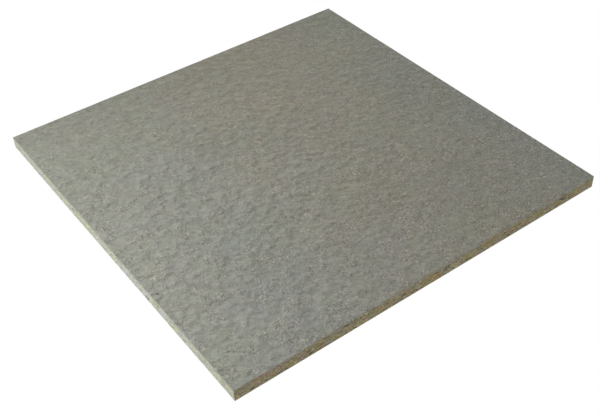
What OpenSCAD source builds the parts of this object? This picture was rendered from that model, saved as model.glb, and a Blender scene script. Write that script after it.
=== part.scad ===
// Cement-bonded particle board: one square panel, sawn from a pressed sheet.
// The origin is at the middle of the underside, and +Z is up through the
// thickness. X and Y run along the sawn edges. All sizes are in millimetres.

/* [Panel] */
// Length of the panel along X, from sawn edge to sawn edge
panel_length = 500; // [100:5:1250]
// Width of the panel along Y, from sawn edge to sawn edge
panel_width = 500; // [100:5:1250]
// Thickness of the pressed sheet that the panel is cut from
sheet_thickness = 16; // [8:1:40]

/* [Arrises] */
// How far the break on each arris reaches into the two faces beside it
arris_break = 0.4; // [0.1:0.1:2]

/* [Hidden] */

cement_grey = [0.56, 0.56, 0.51];

// Corners of a rectangle centred on its own middle, each one cut off at 45 degrees
function broken_corners(across, up, cut) = [
    [across / 2 - cut, up / 2],
    [-across / 2 + cut, up / 2],
    [-across / 2, up / 2 - cut],
    [-across / 2, -up / 2 + cut],
    [-across / 2 + cut, -up / 2],
    [across / 2 - cut, -up / 2],
    [across / 2, -up / 2 + cut],
    [across / 2, up / 2 - cut]
];

// A bar along Z with that outline, centred on the origin
module broken_bar(across, up, long) {
    linear_extrude(height = long, center = true)
        polygon(broken_corners(across, up, arris_break));
}

// The panel's own three outlines meet in one solid, so that all twelve
// arrises and the eight corners get the same break
module particle_board() {
    color(cement_grey)
        translate([0, 0, sheet_thickness / 2])
            intersection() {
                // seen from above
                broken_bar(panel_length, panel_width, sheet_thickness);
                // seen from the front, along Y
                rotate([90, 0, 0])
                    broken_bar(panel_length, sheet_thickness, panel_width);
                // seen from the side, along X
                rotate([90, 0, 90])
                    broken_bar(panel_width, sheet_thickness, panel_length);
            }
}

particle_board();
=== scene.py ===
import math

import bmesh
import bpy
from mathutils import Matrix, Vector, noise


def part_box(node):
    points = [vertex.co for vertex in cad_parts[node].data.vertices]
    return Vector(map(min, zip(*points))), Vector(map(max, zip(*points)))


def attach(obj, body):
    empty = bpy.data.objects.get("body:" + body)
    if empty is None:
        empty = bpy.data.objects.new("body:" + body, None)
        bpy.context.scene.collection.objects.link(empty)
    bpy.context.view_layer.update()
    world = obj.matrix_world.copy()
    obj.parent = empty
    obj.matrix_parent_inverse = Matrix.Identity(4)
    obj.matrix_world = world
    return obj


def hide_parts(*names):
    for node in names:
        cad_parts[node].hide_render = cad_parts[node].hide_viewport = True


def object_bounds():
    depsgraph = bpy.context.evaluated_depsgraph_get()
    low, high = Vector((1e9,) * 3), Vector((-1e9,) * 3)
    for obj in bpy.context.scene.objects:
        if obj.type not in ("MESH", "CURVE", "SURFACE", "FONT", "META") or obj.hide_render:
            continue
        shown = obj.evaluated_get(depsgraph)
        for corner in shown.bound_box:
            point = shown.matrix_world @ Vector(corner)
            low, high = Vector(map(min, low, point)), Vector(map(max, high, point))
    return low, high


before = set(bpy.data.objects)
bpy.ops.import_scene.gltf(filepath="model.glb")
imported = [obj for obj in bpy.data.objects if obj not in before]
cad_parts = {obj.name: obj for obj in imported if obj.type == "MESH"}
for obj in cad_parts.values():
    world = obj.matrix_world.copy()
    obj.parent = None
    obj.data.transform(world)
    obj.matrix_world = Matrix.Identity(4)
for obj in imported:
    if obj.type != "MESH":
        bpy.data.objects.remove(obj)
cad_low, cad_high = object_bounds()


# ---- The view ----
# The board lies flat, and a long lens looks down on it from beyond its near corner. The
# camera is turned to the left of the board's Y axis and leans a little on its stand.

lens_length = 57.34
camera_turn = math.radians(-34.97)
camera_height = math.radians(41.24)
camera_lean = math.radians(-2.43)
camera_distance = 1.080
aim = Vector((-0.0467, -0.0796, cad_high.z))

camera = bpy.data.objects.new("camera", bpy.data.cameras.new("camera"))
bpy.context.scene.collection.objects.link(camera)
camera.data.lens = lens_length
camera.matrix_world = (
    Matrix.Translation(aim)
    @ Matrix.Rotation(camera_turn, 4, "Z")
    @ Matrix.Rotation(math.pi / 2 - camera_height, 4, "X")
    @ Matrix.Rotation(camera_lean, 4, "Z")
    @ Matrix.Translation((0, 0, camera_distance))
)
bpy.context.scene.camera = camera


# ---- The pressed board ----
# One sheet of wood particles in Portland cement, pressed flat, set hard and sawn square.
# The press plates leave a grey cement skin with shallow dents where the particles below
# it sink as they dry, and the saw leaves four raw edges.

board_low, board_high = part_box("particle_board")
board_size = board_high - board_low
board_middle = (board_low + board_high) / 2
arris_radius = 0.0004
arris_angle = 0.3  # radians; a line of the mesh where its faces turn by more stays sharp
skin_cells = 200  # rows of mesh faces across a pressed face
edge_cells = 20  # rows of mesh faces through the thickness
skin_ends = 0.7  # a face whose normal has less than this of Z in it is a sawn one

particle_turn = math.radians(30)
dent_depth = 0.0007
dent_sizes = (0.016, 0.0070)
dent_swell_size = 0.06
dents_drawn_out = 1.15
underside_dents = 0.15  # as a share of the dents in the top
sawn_inset = 0.00010
saw_mark_size = 0.004
tear_size = 0.012
tear_flatness = 5.0
tear_depth = 0.0008
tears_clear_of_arris = (0.0006, 0.002)
tears_clear_of_corner = (0.001, 0.004)

skin_grey = (0.241, 0.243, 0.205)
skin_warm = (0.251, 0.240, 0.192)
warm_band_middle = 0.07
warm_band_reach = (0.03, 0.22)
tint_at_back = (1.0, 1.0, 0.985)
tint_at_front = (0.99, 1.0, 1.035)
skin_washes = (  # their size, and their strength in red, green and blue
    (0.018, (0.09, 0.09, 0.12)),
    (0.070, (0.08, 0.04, 0.10)),
)
right_side = (-0.15, 0.20)  # where each side of the skin starts, and where it is fully itself
front_side = (0.0, -0.20)
back_side = (0.05, 0.25)
flakes_drawn_out = 1.45
broad_flake, middling_flake, small_flake = 0.022, 0.013, 0.007
swell_sizes = (0.026, 0.013)
ripple_size = 0.006
drift_size = 0.16
sandy_patch_size = 0.018
grain_size = 0.0014
speck_size = 0.0028

plain_shade = 0.910  # how light the skin is, and how much lighter or darker each thing makes it
# Painted light and shade across the top: lighter towards the right and the front, darker at the
# back.
painted_light_right, painted_light_front, painted_shade_back = 0.060, 0.012, 0.022
drift_lightens = 0.15
flats_lighten = (0.03, 0.08, 0.09)
# Painted shade in the rims of the flakes.
rim_painted_shade = (0.02, 0.03)
# Painted shade in the dents of the skin.
dent_painted_shade = 0.12
grain_lightens, specks_lighten = 0.65, 0.45
# Painted glints: the brightest specks are lightened, more so towards the right.
painted_glints, painted_glints_right = 0.1, 0.15

sandy_least, sandy_patches = 0.32, 1.35  # how strongly the grain of the cement shows
sandy_less_right, sandy_less_back = 0.8, 0.3
sandy_right, sandy_front = 0.60, 0.22

swell_heights = (0.0028, 0.0019)
ripple_height = 0.0010
flake_steps = (0.0001, 0.0002, 0.0002)
grain_height = 0.0003
speck_height = 0.0005
ripples_left = 1.25  # how strong they are at the left, and how much less so elsewhere
ripples_less_right, ripples_less_front, ripples_less_back = 0.90, 0.46, 0.28
skin_roughness, grain_roughens = 0.86, 0.1
skin_gloss = 0.35

face_layer_depth = 0.0035
face_layer_size = 0.006
face_layer_wander = 0.008
face_layer_grey = (0.335, 0.320, 0.262)
face_layer_cover = 0.48  # on the edges along X, and whole on the edges along Y
# Painted shade: on the edges along Y the grey layer under the top is painted darker.
face_layer_shaded = (0.272, 0.268, 0.228)
edge_starts = 0.0001  # below the top face
# Painted light: the edges along Y are painted paler, cooler and more even than those along X,
# though they are the same sawn cement.
lit_edge_pallor = (0.387, 0.402, 0.330)
lit_edge_pallor_cover = 0.35
lump_size = 0.002
lump_contrast = 1.6
plain_edge_tint = (1.07, 1.10, 1.10)
# Painted light on the edges along Y.
lit_edge_tint = (1.20, 1.45, 1.83)
lit_edge_spread = (0.25, 0.25, 1.2)
edge_patches = (  # their size, and their strength in red, green and blue
    (0.010, (0.50, 0.20, 0.95)),
    (0.035, (0.20, 0.15, 0.6)),
)
crumb_size = 0.004
crumb_flatness = 4.0
crumb_height = 0.00008
crumb_dark = (0.25, 0.215, 0.135)
crumb_light = (0.33, 0.295, 0.20)
dust_size = 0.002
dust_height = 0.0002
edge_shade = 0.80  # how light the cement in the edges is, and what makes it lighter or darker
# Painted shade in the crevices between crumbs and in the tear-outs.
crumb_crevice_shade, dust_lightens, tear_painted_shade = 0.12, 0.6, 0.45
edge_roughness, dust_roughens = 0.88, 0.08
edge_gloss = 0.25


class Wire:
    """A value on its way through a node tree. Arithmetic on it adds the nodes that do it."""

    def __init__(self, tree, socket=None):
        self.tree = tree
        self.socket = socket

    def node(self, kind, sockets=(), output=0, stops=(), **settings):
        """Adds a node: its settings first, then the values or links of its sockets."""
        made = self.tree.nodes.new(kind)
        for name, value in settings.items():
            setattr(made, name, value)
        if stops:
            ramp = made.color_ramp.elements
            ramp.remove(ramp[1])
            ramp[0].position = stops[0][0]
            for position, _ in stops[1:]:
                ramp.new(position)
            for element, (_, colour) in zip(ramp, stops):
                element.color = (*colour, 1)
        for name, value in dict(sockets).items():
            socket = made.inputs[name]
            if isinstance(value, Wire):
                self.tree.links.new(value.socket, socket)
            elif socket.type == "RGBA":
                socket.default_value = (*value, 1)
            else:
                socket.default_value = value
        return Wire(self.tree, made.outputs[output])

    def beside(self, output):
        """Another output of the node this wire comes from."""
        return Wire(self.tree, self.socket.node.outputs[output])

    def maths(self, operation, *values):
        return self.node("ShaderNodeMath", enumerate(values), operation=operation)

    def vector_maths(self, operation, *values):
        return self.node("ShaderNodeVectorMath", enumerate(values), operation=operation)

    def __add__(self, other):
        return self.maths("ADD", self, other)

    def __radd__(self, other):
        return self.maths("ADD", other, self)

    def __sub__(self, other):
        return self.maths("SUBTRACT", self, other)

    def __rsub__(self, other):
        return self.maths("SUBTRACT", other, self)

    def __mul__(self, other):
        return self.maths("MULTIPLY", self, other)

    def __rmul__(self, other):
        return self.maths("MULTIPLY", other, self)

    def __truediv__(self, other):
        return self.maths("DIVIDE", self, other)

    def __rtruediv__(self, other):
        return self.maths("DIVIDE", other, self)

    def __abs__(self):
        return self.maths("ABSOLUTE", self)

    def above(self, limit):
        return self.maths("GREATER_THAN", self, limit)

    def smooth(self, low, high):
        """0 below low and 1 above high, with a soft step between them."""
        span = {"Value": self, "From Min": low, "From Max": high}
        return self.node("ShaderNodeMapRange", span, interpolation_type="SMOOTHSTEP")

    def mix(self, colour, other):
        """The first colour where this wire is 0 and the other where it is 1."""
        return self.node("ShaderNodeMix", {0: self, 6: colour, 7: other}, 2, data_type="RGBA")

    def scaled(self, amount):
        """This vector or colour, times a number."""
        return self.node("ShaderNodeVectorMath", {0: self, "Scale": amount}, operation="SCALE")

    def stretched(self, x, y, z):
        return self.vector_maths("MULTIPLY", self, (x, y, z))

    def part(self, axis):
        return self.node("ShaderNodeSeparateXYZ", {0: self}, axis)

    def aside(self):
        """This place, moved well clear of the middle of a noise, where its lumps line up."""
        return self.vector_maths("ADD", self, (4.1, 2.3, 1.7))

    def noise(self, size, detail=2.0, roughness=0.5, output=0):
        """Soft noise about 0.5, with lumps of this size in metres."""
        sockets = {
            "Vector": self.aside(),
            "Scale": 1 / size,
            "Detail": detail,
            "Roughness": roughness,
        }
        return self.node("ShaderNodeTexNoise", sockets, output)

    def cells(self, size, output="Distance", **settings):
        """Cells of this size in metres, one to each particle."""
        sockets = {"Vector": self.aside(), "Scale": 1 / size}
        return self.node("ShaderNodeTexVoronoi", sockets, output, **settings)


def along_grain(place, stretch):
    """The place turned to the way the particles lie, and drawn out along them."""
    turned = place.node(
        "ShaderNodeVectorRotate",
        {"Vector": place, "Angle": particle_turn},
        rotation_type="Z_AXIS",
    )
    return turned.stretched(1.0, stretch, 1.0)


def overlapping(place, size, lean=0.55):
    """Lumps of this size that lean towards the front, as one flake lies over the next."""
    lumps = place.noise(size, detail=1.0)
    forward = place.node("ShaderNodeCombineXYZ", {1: (lumps - 0.5) * (lean * size)})
    return place.vector_maths("ADD", place, forward).noise(size, detail=1.0)


def skin_dents(place):
    """How far the pressed skin has sunk: about 0 on its flats and 1 in the deepest dents."""
    drawn_out = along_grain(place, dents_drawn_out)
    broad = overlapping(drawn_out, dent_sizes[0]).smooth(0.36, 0.60)
    small = overlapping(drawn_out, dent_sizes[1]).smooth(0.34, 0.62)
    swell = drawn_out.noise(dent_swell_size, detail=1.0)
    sunk = 1.2 - broad * 0.30 - small * 0.40 - swell * 0.7
    return sunk.maths("MAXIMUM", sunk, 0.0)


def torn_out(place):
    """1 where the saw tore a particle out of the edge, and 0 elsewhere."""
    flat_lying = place.stretched(1.0, 1.0, tear_flatness)
    return flat_lying.noise(tear_size, detail=1.0).smooth(0.68, 0.76)


def new_tree(name, inputs):
    """A Geometry Nodes tree with these inputs, and a wire from each of them."""
    tree = bpy.data.node_groups.new(name, "GeometryNodeTree")
    tree.interface.new_socket("Geometry", in_out="OUTPUT", socket_type="NodeSocketGeometry")
    kinds = {int: "NodeSocketInt", float: "NodeSocketFloat", Vector: "NodeSocketVector"}
    for label, value in inputs.items():
        tree.interface.new_socket(label, in_out="INPUT", socket_type=kinds[type(value)])
    given = tree.nodes.new("NodeGroupInput")
    return tree, [Wire(tree, given.outputs[label]) for label in inputs]


def finished(name, tree, geometry, inputs):
    """Runs a finished tree with these inputs and keeps what it makes as a plain mesh."""
    result = tree.nodes.new("NodeGroupOutput")
    tree.links.new(geometry.socket, result.inputs[0])
    piece = bpy.data.objects.new(name, bpy.data.meshes.new(name))
    bpy.context.scene.collection.objects.link(piece)
    modifier = piece.modifiers.new(name, "NODES")
    for item in tree.interface.items_tree:
        if item.in_out == "INPUT":
            modifier[item.identifier] = inputs[item.name]
    modifier.node_group = tree
    evaluated = piece.evaluated_get(bpy.context.evaluated_depsgraph_get())
    piece.data = bpy.data.meshes.new_from_object(evaluated)
    piece.modifiers.clear()
    return piece


def new_material(name):
    """A material with a plain surface shader, and a wire to start its patterns from."""
    material = bpy.data.materials.new(name)
    material.use_nodes = True
    shader = material.node_tree.nodes["Principled BSDF"]
    place = Wire(material.node_tree).node("ShaderNodeTexCoord", output="Object")
    return material, shader, place


def finish_surface(shader, colour, roughness, height, gloss):
    """Wires a surface's colour, roughness and fine relief, a height in metres, to its shader."""
    tree = colour.tree
    bump = height.node("ShaderNodeBump", {"Height": height, "Distance": 1.0})
    shader.inputs["Specular IOR Level"].default_value = gloss
    tree.links.new(colour.socket, shader.inputs["Base Color"])
    tree.links.new(roughness.socket, shader.inputs["Roughness"])
    tree.links.new(bump.socket, shader.inputs["Normal"])


def mottled(colour, patches, strength):
    """This colour under patches of coloured noise, this strong in red, green and blue."""
    least = [1.0 - share / 2 for share in strength]
    patches = patches.vector_maths("MULTIPLY_ADD", patches, strength, least)
    return colour.vector_maths("MULTIPLY", colour, patches)


def about_one(soft, contrast):
    """This soft noise brought up from about 0.5 to about 1, with this contrast."""
    return (1.0 - contrast / 2) + soft * contrast


def flakes(place, size):
    """Flakes of this size lying in the skin. They rise out of it where this is about 0.5."""
    return place.noise(size, detail=3.0, roughness=0.6)


def flats(lying):
    """1 on the flats of these flakes, and 0 between them."""
    return lying.smooth(0.48, 0.54)


def rims(lying):
    """1 in the rims of these flakes, where shade is painted, and 0 elsewhere."""
    return 1.0 - abs(lying - 0.45).smooth(0.0, 0.04)


cement_skin, shader, place = new_material("cement_skin")
right = place.part(0).smooth(*right_side)
front = 1.0 - place.part(1).smooth(front_side[1], front_side[0])
back = place.part(1).smooth(*back_side)
warmth = 1.0 - abs(place.part(0) - warm_band_middle).smooth(*warm_band_reach)
ground = warmth.mix(skin_grey, skin_warm)
forward = 1.0 - place.part(1).smooth(board_low.y, board_high.y)
ground = ground.vector_maths("MULTIPLY", ground, forward.mix(tint_at_back, tint_at_front))
for wash_size, wash_strength in skin_washes:
    ground = mottled(ground, place.noise(wash_size, detail=1.0, output=1), wash_strength)

# The flakes under the cement show as paler flats, with painted shade in their rims and in the
# dents.
drawn_out = along_grain(place, flakes_drawn_out)
broad = flakes(drawn_out, broad_flake)
middling = flakes(drawn_out, middling_flake)
small = flakes(drawn_out, small_flake)
broad_flats, middling_flats, small_flats = flats(broad), flats(middling), flats(small)
drift = place.noise(drift_size, detail=2.0)
# Painted light towards the right and the front, and painted shade at the back.
shade = plain_shade + right * painted_light_right + front * painted_light_front - back * painted_shade_back
shade = shade + (drift - 0.5) * drift_lightens + broad_flats * flats_lighten[0]
shade = shade + middling_flats * flats_lighten[1] + small_flats * flats_lighten[2]
shade = shade - rims(broad) * rim_painted_shade[0] - rims(middling) * rim_painted_shade[1]
# Painted shade, deeper in the deeper dents.
shade = shade - (skin_dents(place) - 0.5) * dent_painted_shade

# The grain of the cement shows in patches, which run together towards the right.
grain = place.noise(grain_size, detail=2.0, roughness=0.6)
specks = place.noise(speck_size, detail=2.0, roughness=0.6)
# Painted glints on the brightest specks, stronger towards the right.
bright = specks.smooth(0.60, 0.72) * (painted_glints + right * painted_glints_right)
sandy = place.noise(sandy_patch_size, detail=1.0).smooth(0.44, 0.60)
sandy = sandy_least + sandy * (sandy_patches - right * sandy_less_right)
sandy = sandy * (1.0 - back * sandy_less_back) + right * sandy_right + front * sandy_front
grained = (grain - 0.5) * grain_lightens + (specks - 0.5) * specks_lighten + bright
shade = shade + grained * sandy

# The skin ripples as one flake lies over the next, and it is smoothest at the right.
swells = overlapping(drawn_out, swell_sizes[0]) * swell_heights[0]
swells = swells + overlapping(drawn_out, swell_sizes[1]) * swell_heights[1]
relief = swells + place.noise(ripple_size, detail=2.0) * ripple_height
relief = relief + broad_flats * flake_steps[0]
relief = relief + middling_flats * flake_steps[1] + small_flats * flake_steps[2]
strength = ripples_left - right * ripples_less_right
strength = strength - front * ripples_less_front - back * ripples_less_back
fine_relief = (specks - 0.5) * speck_height + (grain - 0.5) * grain_height
finish_surface(
    shader,
    colour=ground.scaled(shade),
    roughness=skin_roughness + grain * grain_roughens,
    height=relief * strength + fine_relief * sandy,
    gloss=skin_gloss,
)


def face_layer(place):
    """1 in the fine grey layer under the top face, which ends raggedly, and 0 below it."""
    deep = board_size.z - place.part(2)
    ragged = deep + (place.noise(face_layer_size, detail=2.0) - 0.5) * face_layer_wander
    return 1.0 - ragged.smooth(0.0, face_layer_depth)


def as_sawn(place, colour):
    """This colour as the saw leaves it: patchy, grey at the top, and painted paler along Y as
    painted light.
    """
    half = board_size / 2
    on_edge = (board_size.z - place.part(2)).above(edge_starts)
    along_y = (abs(place.part(0)) / half.x - abs(place.part(1)) / half.y).above(0.0) * on_edge
    # Painted light: the edges along Y take a paler, cooler tint and a pale wash.
    tint = along_y.mix(plain_edge_tint, lit_edge_tint)
    least = [0.5 - spread / 2 for spread in lit_edge_spread]
    for patch_size, strength in edge_patches:
        patches = place.noise(patch_size, detail=1.0, output=1)
        lit_patches = patches.vector_maths("MULTIPLY_ADD", patches, lit_edge_spread, least)
        tint = mottled(tint, along_y.mix(patches, lit_patches), strength)
    colour = colour.vector_maths("MULTIPLY", colour, tint)
    colour = (along_y * lit_edge_pallor_cover).mix(colour, lit_edge_pallor)
    lumps = place.noise(lump_size, detail=2.0, roughness=0.6)
    colour = colour.scaled(about_one(lumps, lump_contrast))
    # Painted shade in the grey layer along the top of the edges along Y.
    grey = along_y.mix(face_layer_grey, face_layer_shaded)
    cover = along_y * (1.0 - face_layer_cover) + face_layer_cover
    return (face_layer(place) * on_edge * cover).mix(colour, grey)


sawn_cement, shader, place = new_material("sawn_cement")
lying = place.stretched(1.0, 1.0, crumb_flatness)
crumbs = lying.cells(crumb_size, "Color").part(0)
crumb_middles = lying.cells(crumb_size, feature="DISTANCE_TO_EDGE").smooth(0.0, 0.08)
dust = place.noise(dust_size, detail=3.0)
matrix = crumbs.mix(crumb_dark, crumb_light)
# Painted shade: the crevices between crumbs are darker than their middles.
worn = edge_shade + crumb_middles * crumb_crevice_shade + (dust - 0.5) * dust_lightens
# Painted shade in the tear-outs.
worn = worn - torn_out(place) * tear_painted_shade
finish_surface(
    shader,
    colour=as_sawn(place, matrix.scaled(worn)),
    roughness=edge_roughness + dust * dust_roughens,
    height=crumb_middles * crumb_height + (dust - 0.5) * dust_height,
    gloss=edge_gloss,
)

board_inputs = {
    "Size": board_size,
    "Middle": board_middle,
    "Arris Radius": arris_radius,
    "Skin Cells": skin_cells,
    "Edge Cells": edge_cells,
    "Dent Depth": dent_depth,
    "Sawn Inset": sawn_inset,
    "Tear Depth": tear_depth,
}
board_tree, given = new_tree("pressed_board", board_inputs)
size, middle, radius, across, through, dent, inset, tear = given

# A block of even cells has one more row at each rim, and that row is rolled round the arris.
inner = size.vector_maths("SUBTRACT", size.scaled(0.5), radius)
rim = size.node("ShaderNodeCombineXYZ", {0: 2.0 / across, 1: 2.0 / across, 2: 2.0 / through})
block_size = inner.vector_maths("MULTIPLY_ADD", inner.scaled(2.0), rim, inner.scaled(2.0))
block = size.node(
    "GeometryNodeMeshCube",
    {
        "Size": block_size,
        "Vertices X": across + 3.0,
        "Vertices Y": across + 3.0,
        "Vertices Z": through + 3.0,
    },
)
corner = size.node("GeometryNodeInputPosition")
core = corner.vector_maths("MINIMUM", corner, inner)
core = core.vector_maths("MAXIMUM", core, inner.scaled(-1.0))
outward = corner.vector_maths("SUBTRACT", corner, core)
outward = outward.vector_maths("NORMALIZE", outward)
flat = corner.vector_maths("ADD", core, outward.scaled(radius))
flat = flat.vector_maths("ADD", flat, middle)

# Then each face sinks by its own dents, saw marks and tears.
margin = size.vector_maths("SUBTRACT", inner, core.vector_maths("ABSOLUTE", core))
from_corner = margin.maths("MAXIMUM", margin.part(0), margin.part(1))
clear = margin.part(2).smooth(*tears_clear_of_arris)
clear = clear * from_corner.smooth(*tears_clear_of_corner)
share = underside_dents + outward.part(2).above(0.0) * (1.0 - underside_dents)
sunk = skin_dents(flat) * dent * share
sawn = inset * (flat.noise(saw_mark_size, detail=2.0) + 0.5) + torn_out(flat) * clear * tear
depths = size.node("ShaderNodeCombineXYZ", {0: sawn, 1: sawn, 2: sunk})
surface = flat.vector_maths("SUBTRACT", flat, outward.vector_maths("MULTIPLY", outward, depths))
board = size.node("GeometryNodeSetPosition", {"Geometry": block, "Position": surface})

# The arris lines stay sharp, and the faces that stand upright are raw.
board = board.node("GeometryNodeSetShadeSmooth", {"Geometry": board})
arris_line = size.node("GeometryNodeInputMeshEdgeAngle").above(arris_angle)
board = board.node(
    "GeometryNodeSetShadeSmooth",
    {"Geometry": board, "Selection": arris_line, "Shade Smooth": False},
    domain="EDGE",
)
level = abs(size.node("GeometryNodeInputNormal").part(2))
board = board.node("GeometryNodeRealizeInstances", {"Geometry": board})
board = board.node("GeometryNodeSetMaterial", {"Geometry": board, "Material": cement_skin})
board = board.node(
    "GeometryNodeSetMaterial",
    {"Geometry": board, "Selection": skin_ends - level, "Material": sawn_cement},
)
pressed_board = finished("pressed_board", board_tree, board, board_inputs)
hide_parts("particle_board")
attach(pressed_board, "root")


# ---- The sawn particles ----
# Flat splinters of wood, lying as they fell in the mat, that the saw cut through on all
# four edges. They are straw, ochre, reddish and bark brown, with grey cement smeared across.

splinters_per_square_metre = 200000.0
splinter_length = (0.0035, 0.012)
splinter_thickness = (0.0004, 0.0018)
splinter_depth = 0.0006
splinter_seed = 7
splinter_stagger = 0.0001
splinter_slant = 0.004  # how far its ends may rise and fall, together
splinter_clearance = 0.00002
clear_of_corner = 0.002
clear_of_faces = 0.0005
corner_fit = 1.5  # the greatest length of a splinter, over its distance from the corner
mat_starts = 0.0013  # below the top face and above the underside
ragged_size = 0.0012
ragged_along = 0.003
ragged_through = 0.0008
wood_tones = [
    (0.0, (0.04, 0.03, 0.02)),  # bark
    (0.10, (0.13, 0.09, 0.05)),
    (0.30, (0.22, 0.165, 0.08)),  # ochre
    (0.50, (0.32, 0.26, 0.13)),
    (0.65, (0.38, 0.33, 0.19)),  # straw
    (0.78, (0.36, 0.225, 0.14)),  # reddish heartwood
    (0.90, (0.29, 0.29, 0.09)),  # olive sapwood
    (1.0, (0.52, 0.48, 0.34)),  # pale
]
fibre_size = 0.006
fibre_flatness = 8.0
fibre_contrast = 0.9
fibre_height = 0.00015
smear_size = 0.0035
smear_cover = 0.7
smeared_cement = (0.29, 0.26, 0.185)
wood_roughness, smear_roughens = 0.80, 0.12
wood_gloss = 0.3

wood_flake, shader, place = new_material("wood_flake")
tone = place.node("ShaderNodeAttribute", output="Fac", attribute_name="tone")
wood = tone.node("ShaderNodeValToRGB", {0: tone}, stops=wood_tones)
fibres = place.stretched(1.0, 1.0, fibre_flatness).noise(fibre_size, detail=2.0)
smear = place.noise(smear_size, detail=2.0).smooth(0.54, 0.66) * tone.smooth(0.0, 0.2)
smeared = (smear * smear_cover).mix(wood, smeared_cement)
finish_surface(
    shader,
    colour=as_sawn(place, smeared.scaled(about_one(fibres, fibre_contrast))),
    roughness=wood_roughness + smear * smear_roughens,
    height=(fibres - 0.5) * fibre_height,
    gloss=wood_gloss,
)

splinter_inputs = {
    "Size": board_size,
    "Middle": board_middle,
    "Per Square Metre": splinters_per_square_metre,
    "Least Length": splinter_length[0],
    "Greatest Length": splinter_length[1],
    "Least Thickness": splinter_thickness[0],
    "Greatest Thickness": splinter_thickness[1],
    "Depth": splinter_depth,
    "Seed": splinter_seed,
}
splinter_tree, given = new_tree("sawn_particles", splinter_inputs)
size, middle, density, short, long, thin, thick, depth, seed = given


def at_random(step):
    """A random number from 0 to 1 for each splinter; each step makes a different one."""
    sockets = {"ID": size.node("GeometryNodeInputIndex"), "Seed": seed + step}
    return size.node("FunctionNodeRandomValue", sockets, 1, data_type="FLOAT")


mat = size.vector_maths("SUBTRACT", size, (0, 0, 2 * mat_starts))
normal = size.node("GeometryNodeInputNormal")
places = size.node(
    "GeometryNodeDistributePointsOnFaces",
    {
        "Mesh": size.node("GeometryNodeMeshCube", {"Size": mat}),
        "Selection": 0.5 - abs(normal.part(2)),
        "Density": density,
        "Seed": seed,
    },
)

# Each lies flush with its edge, and is short enough to stay inside the nearest corner.
outward = places.beside("Normal")
spot = size.node("GeometryNodeInputPosition")
margin = size.vector_maths("SUBTRACT", size.scaled(0.5), spot.vector_maths("ABSOLUTE", spot))
from_corner = margin.maths("MAXIMUM", margin.part(0), margin.part(1))
length = short + (long - short) * at_random(1) * at_random(2)
length = length.maths("MINIMUM", length, from_corner * corner_fit)
thickness = thin + (thick - thin) * at_random(3)
sunk = depth + at_random(5) * splinter_stagger + splinter_clearance
spot = spot.vector_maths("SUBTRACT", spot, outward.scaled(sunk))
spot = spot.vector_maths("ADD", spot, middle)
places = size.node("GeometryNodeSetPosition", {"Geometry": places, "Position": spot})
turn = outward.maths("ARCTAN2", outward.part(0), outward.part(1) * -1.0)
lean = (at_random(6) - 0.5) * splinter_slant / length
splinter = size.node(
    "GeometryNodeMeshCone",
    {"Vertices": 7, "Radius Top": 0.85, "Radius Bottom": 1.0, "Depth": 1.0},
)
corner = size.node("GeometryNodeInputPosition")
splinters = size.node(
    "GeometryNodeInstanceOnPoints",
    {
        "Points": places,
        "Selection": from_corner.above(clear_of_corner) - torn_out(corner),
        "Instance": splinter,
        "Rotation": size.node("ShaderNodeCombineXYZ", {0: math.pi / 2, 1: lean, 2: turn}),
        "Scale": size.node("ShaderNodeCombineXYZ", {0: length * 0.5, 1: thickness * 0.5, 2: depth}),
    },
)
splinters = size.node(
    "GeometryNodeStoreNamedAttribute",
    {"Geometry": splinters, "Name": "tone", "Value": at_random(7)},
    data_type="FLOAT",
    domain="INSTANCE",
)
splinters = size.node("GeometryNodeRealizeInstances", {"Geometry": splinters})

# The outlines go ragged, but never past the board.
inside = corner.vector_maths("SUBTRACT", corner, middle)
inside = size.vector_maths("SUBTRACT", size.scaled(0.5), inside.vector_maths("ABSOLUTE", inside))
ragged = corner.noise(ragged_size, detail=0.0, output=1)
ragged = ragged.vector_maths("SUBTRACT", ragged, (0.5, 0.5, 0.5))
strays = {
    0: inside.part(0).above(clear_of_corner) * ragged_along,
    1: inside.part(1).above(clear_of_corner) * ragged_along,
    2: ragged_through,
}
ragged = ragged.vector_maths("MULTIPLY", ragged, size.node("ShaderNodeCombineXYZ", strays))
kept_back = (-splinter_clearance, -splinter_clearance, -clear_of_faces)
limit = size.vector_maths("MULTIPLY_ADD", size, (0.5, 0.5, 0.5), kept_back)
corner = corner.vector_maths("ADD", corner, ragged)
corner = corner.vector_maths("MINIMUM", corner, middle.vector_maths("ADD", middle, limit))
corner = corner.vector_maths("MAXIMUM", corner, middle.vector_maths("SUBTRACT", middle, limit))
splinters = size.node("GeometryNodeSetPosition", {"Geometry": splinters, "Position": corner})
splinters = size.node("GeometryNodeSetMaterial", {"Geometry": splinters, "Material": wood_flake})
sawn_particles = finished("sawn_particles", splinter_tree, splinters, splinter_inputs)
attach(sawn_particles, "root")


# ---- The coarse chips ----
# A few larger chips stand out among the small ones: dark bark, reddish heartwood and olive
# sapwood. The saw cut them flush with the edges, and one bark fleck lies in the skin.

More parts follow.
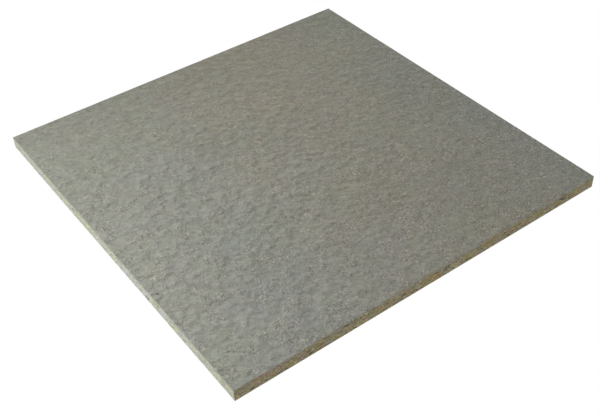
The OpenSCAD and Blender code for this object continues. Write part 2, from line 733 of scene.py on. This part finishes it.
chip_depth = 0.0008
chip_clearance = 0.00001
chip_seed = 5
chip_raggedness = 0.45  # as a share of its half length and half thickness
bark, heartwood, sapwood, pale = 0.02, 0.78, 0.90, 1.0  # their tones in the wood's colours
front_chips = (  # millimetres from the near corner, above the floor, long and thick, and its wood
    (20, 3, 5, 2, bark),
    (60, 8, 8, 4, sapwood),
    (60, 2.5, 3, 1.5, bark),
    (90, 4, 5, 2.5, bark),
    (120, 4, 6, 2.5, sapwood),
    (135, 8, 5, 4, heartwood),
    (135, 12.5, 8, 2, bark),
    (160, 13, 5, 2, pale),
    (180, 7, 9, 3, heartwood),
    (200, 9.5, 6, 3, sapwood),
    (280, 8, 7, 5, sapwood),
    (305, 6.5, 5.5, 5, sapwood),
    (305, 3, 3, 1.5, bark),
    (385, 9.5, 6.5, 8, heartwood),
    (415, 3, 9, 2.5, sapwood),
    (445, 10.5, 6.5, 2.5, bark),
    (450, 8, 8, 2, bark),
    (470, 9.5, 8, 5, sapwood),
)
left_chips = (  # the same, along the left edge
    (105, 8, 9, 4.5, sapwood),
    (140, 11, 6.5, 3, bark),
    (165, 3.5, 8.5, 3.5, bark),
    (200, 12, 5, 1.5, bark),
    (220, 11, 5.5, 2, bark),
    (335, 9.5, 6.5, 2.5, bark),
    (350, 9, 10, 5, sapwood),
    (440, 11, 11, 4, sapwood),
)
fleck_place = (0.007, 0.152)
fleck_size = (0.0038, 0.0019)
fleck_turn = math.radians(-65)

noise.seed_set(chip_seed)
chips = bmesh.new()
chip_tone = chips.verts.layers.float.new("tone")
facing_front = Matrix.Rotation(math.pi / 2, 4, "X")
facing_left = Matrix.Rotation(-math.pi / 2, 4, "Z") @ facing_front
facing_up = Matrix.Rotation(fleck_turn, 4, "Z")


def add_chip(centre, facing, length, thickness, wood):
    """A ragged flat chip with its middle here, its broad face to the outside."""
    full_size = Matrix.Diagonal((length / 2, thickness / 2, chip_depth, 1.0))
    placing = Matrix.Translation(centre) @ facing @ full_size
    made = bmesh.ops.create_cone(
        chips, cap_ends=True, segments=13, radius1=1.0, radius2=0.9, depth=1.0
    )
    for corner in made["verts"]:
        corner[chip_tone] = wood
        own_place = corner.co * 2.5 + centre * 1000
        stray = noise.noise_vector(own_place) * chip_raggedness
        corner.co = placing @ (corner.co + Vector((stray.x, stray.y, 0)))
        for axis in range(3):
            low = board_low[axis] + chip_clearance
            high = board_high[axis] - chip_clearance
            corner.co[axis] = min(max(corner.co[axis], low), high)


for along, height, chip_length, chip_thickness, kind in front_chips:
    centre = board_low + Vector((along / 1000, chip_depth / 2, height / 1000))
    add_chip(centre, facing_front, chip_length / 1000, chip_thickness / 1000, kind)
for along, height, chip_length, chip_thickness, kind in left_chips:
    centre = board_low + Vector((chip_depth / 2, along / 1000, height / 1000))
    add_chip(centre, facing_left, chip_length / 1000, chip_thickness / 1000, kind)
centre = board_low + Vector((*fleck_place, board_size.z - chip_depth / 2))
add_chip(centre, facing_up, *fleck_size, bark)

bmesh.ops.recalc_face_normals(chips, faces=chips.faces)
coarse_chips = bpy.data.objects.new("coarse_chips", bpy.data.meshes.new("coarse_chips"))
bpy.context.scene.collection.objects.link(coarse_chips)
chips.to_mesh(coarse_chips.data)
chips.free()
coarse_chips.data.materials.append(wood_flake)
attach(coarse_chips, "root")


# ---- The floor ----
# A matt white sheet that is lit evenly from below, so that the board lies on clean white. It
# reaches far enough that its rim never shows.

floor_reach = 15.0

floor_mesh = bpy.data.meshes.new("floor")
floor_mesh.from_pydata(
    [
        (-floor_reach, -floor_reach, 0),
        (floor_reach, -floor_reach, 0),
        (floor_reach, floor_reach, 0),
        (-floor_reach, floor_reach, 0),
    ],
    [],
    [(0, 1, 2, 3)],
)
floor = bpy.data.objects.new("floor", floor_mesh)
bpy.context.scene.collection.objects.link(floor)
floor_paper, shader, _ = new_material("floor_paper")
shader.inputs["Base Color"].default_value = (0, 0, 0, 1)
shader.inputs["Roughness"].default_value = 0.9
shader.inputs["Specular IOR Level"].default_value = 0.0
shader.inputs["Emission Color"].default_value = (1, 1, 1, 1)
shader.inputs["Emission Strength"].default_value = 1.0
floor_mesh.materials.append(floor_paper)


# ---- The light ----
# A soft box stands close to the left of the board and lights its left edge. A second one
# further off rakes across the board from the back, and the white room fills the rest.

room_brightness = 0.34


def soft_box(name, turn, height, distance, width, watts):
    """A soft box aimed at the middle of the board, turned about Z from the board's X axis."""
    box = bpy.data.objects.new(name, bpy.data.lights.new(name, "AREA"))
    bpy.context.scene.collection.objects.link(box)
    turn = math.radians(turn)
    height = math.radians(height)
    level = math.cos(height)
    way_out = Vector((level * math.cos(turn), level * math.sin(turn), math.sin(height)))
    box.location = way_out * distance
    box.rotation_euler = (-way_out).to_track_quat("-Z", "Y").to_euler()
    box.data.shape = "DISK"
    box.data.size = width
    box.data.energy = watts


soft_box("left_box", turn=176, height=38, distance=0.9, width=0.45, watts=7.0)
soft_box("back_box", turn=52, height=6, distance=4.5, width=0.5, watts=150.0)

room = bpy.data.worlds.new("room")
bpy.context.scene.world = room
room.use_nodes = True
room.node_tree.nodes["Background"].inputs["Color"].default_value = (1, 1, 1, 1)
room.node_tree.nodes["Background"].inputs["Strength"].default_value = room_brightness
bpy.context.scene.view_settings.view_transform = "Standard"
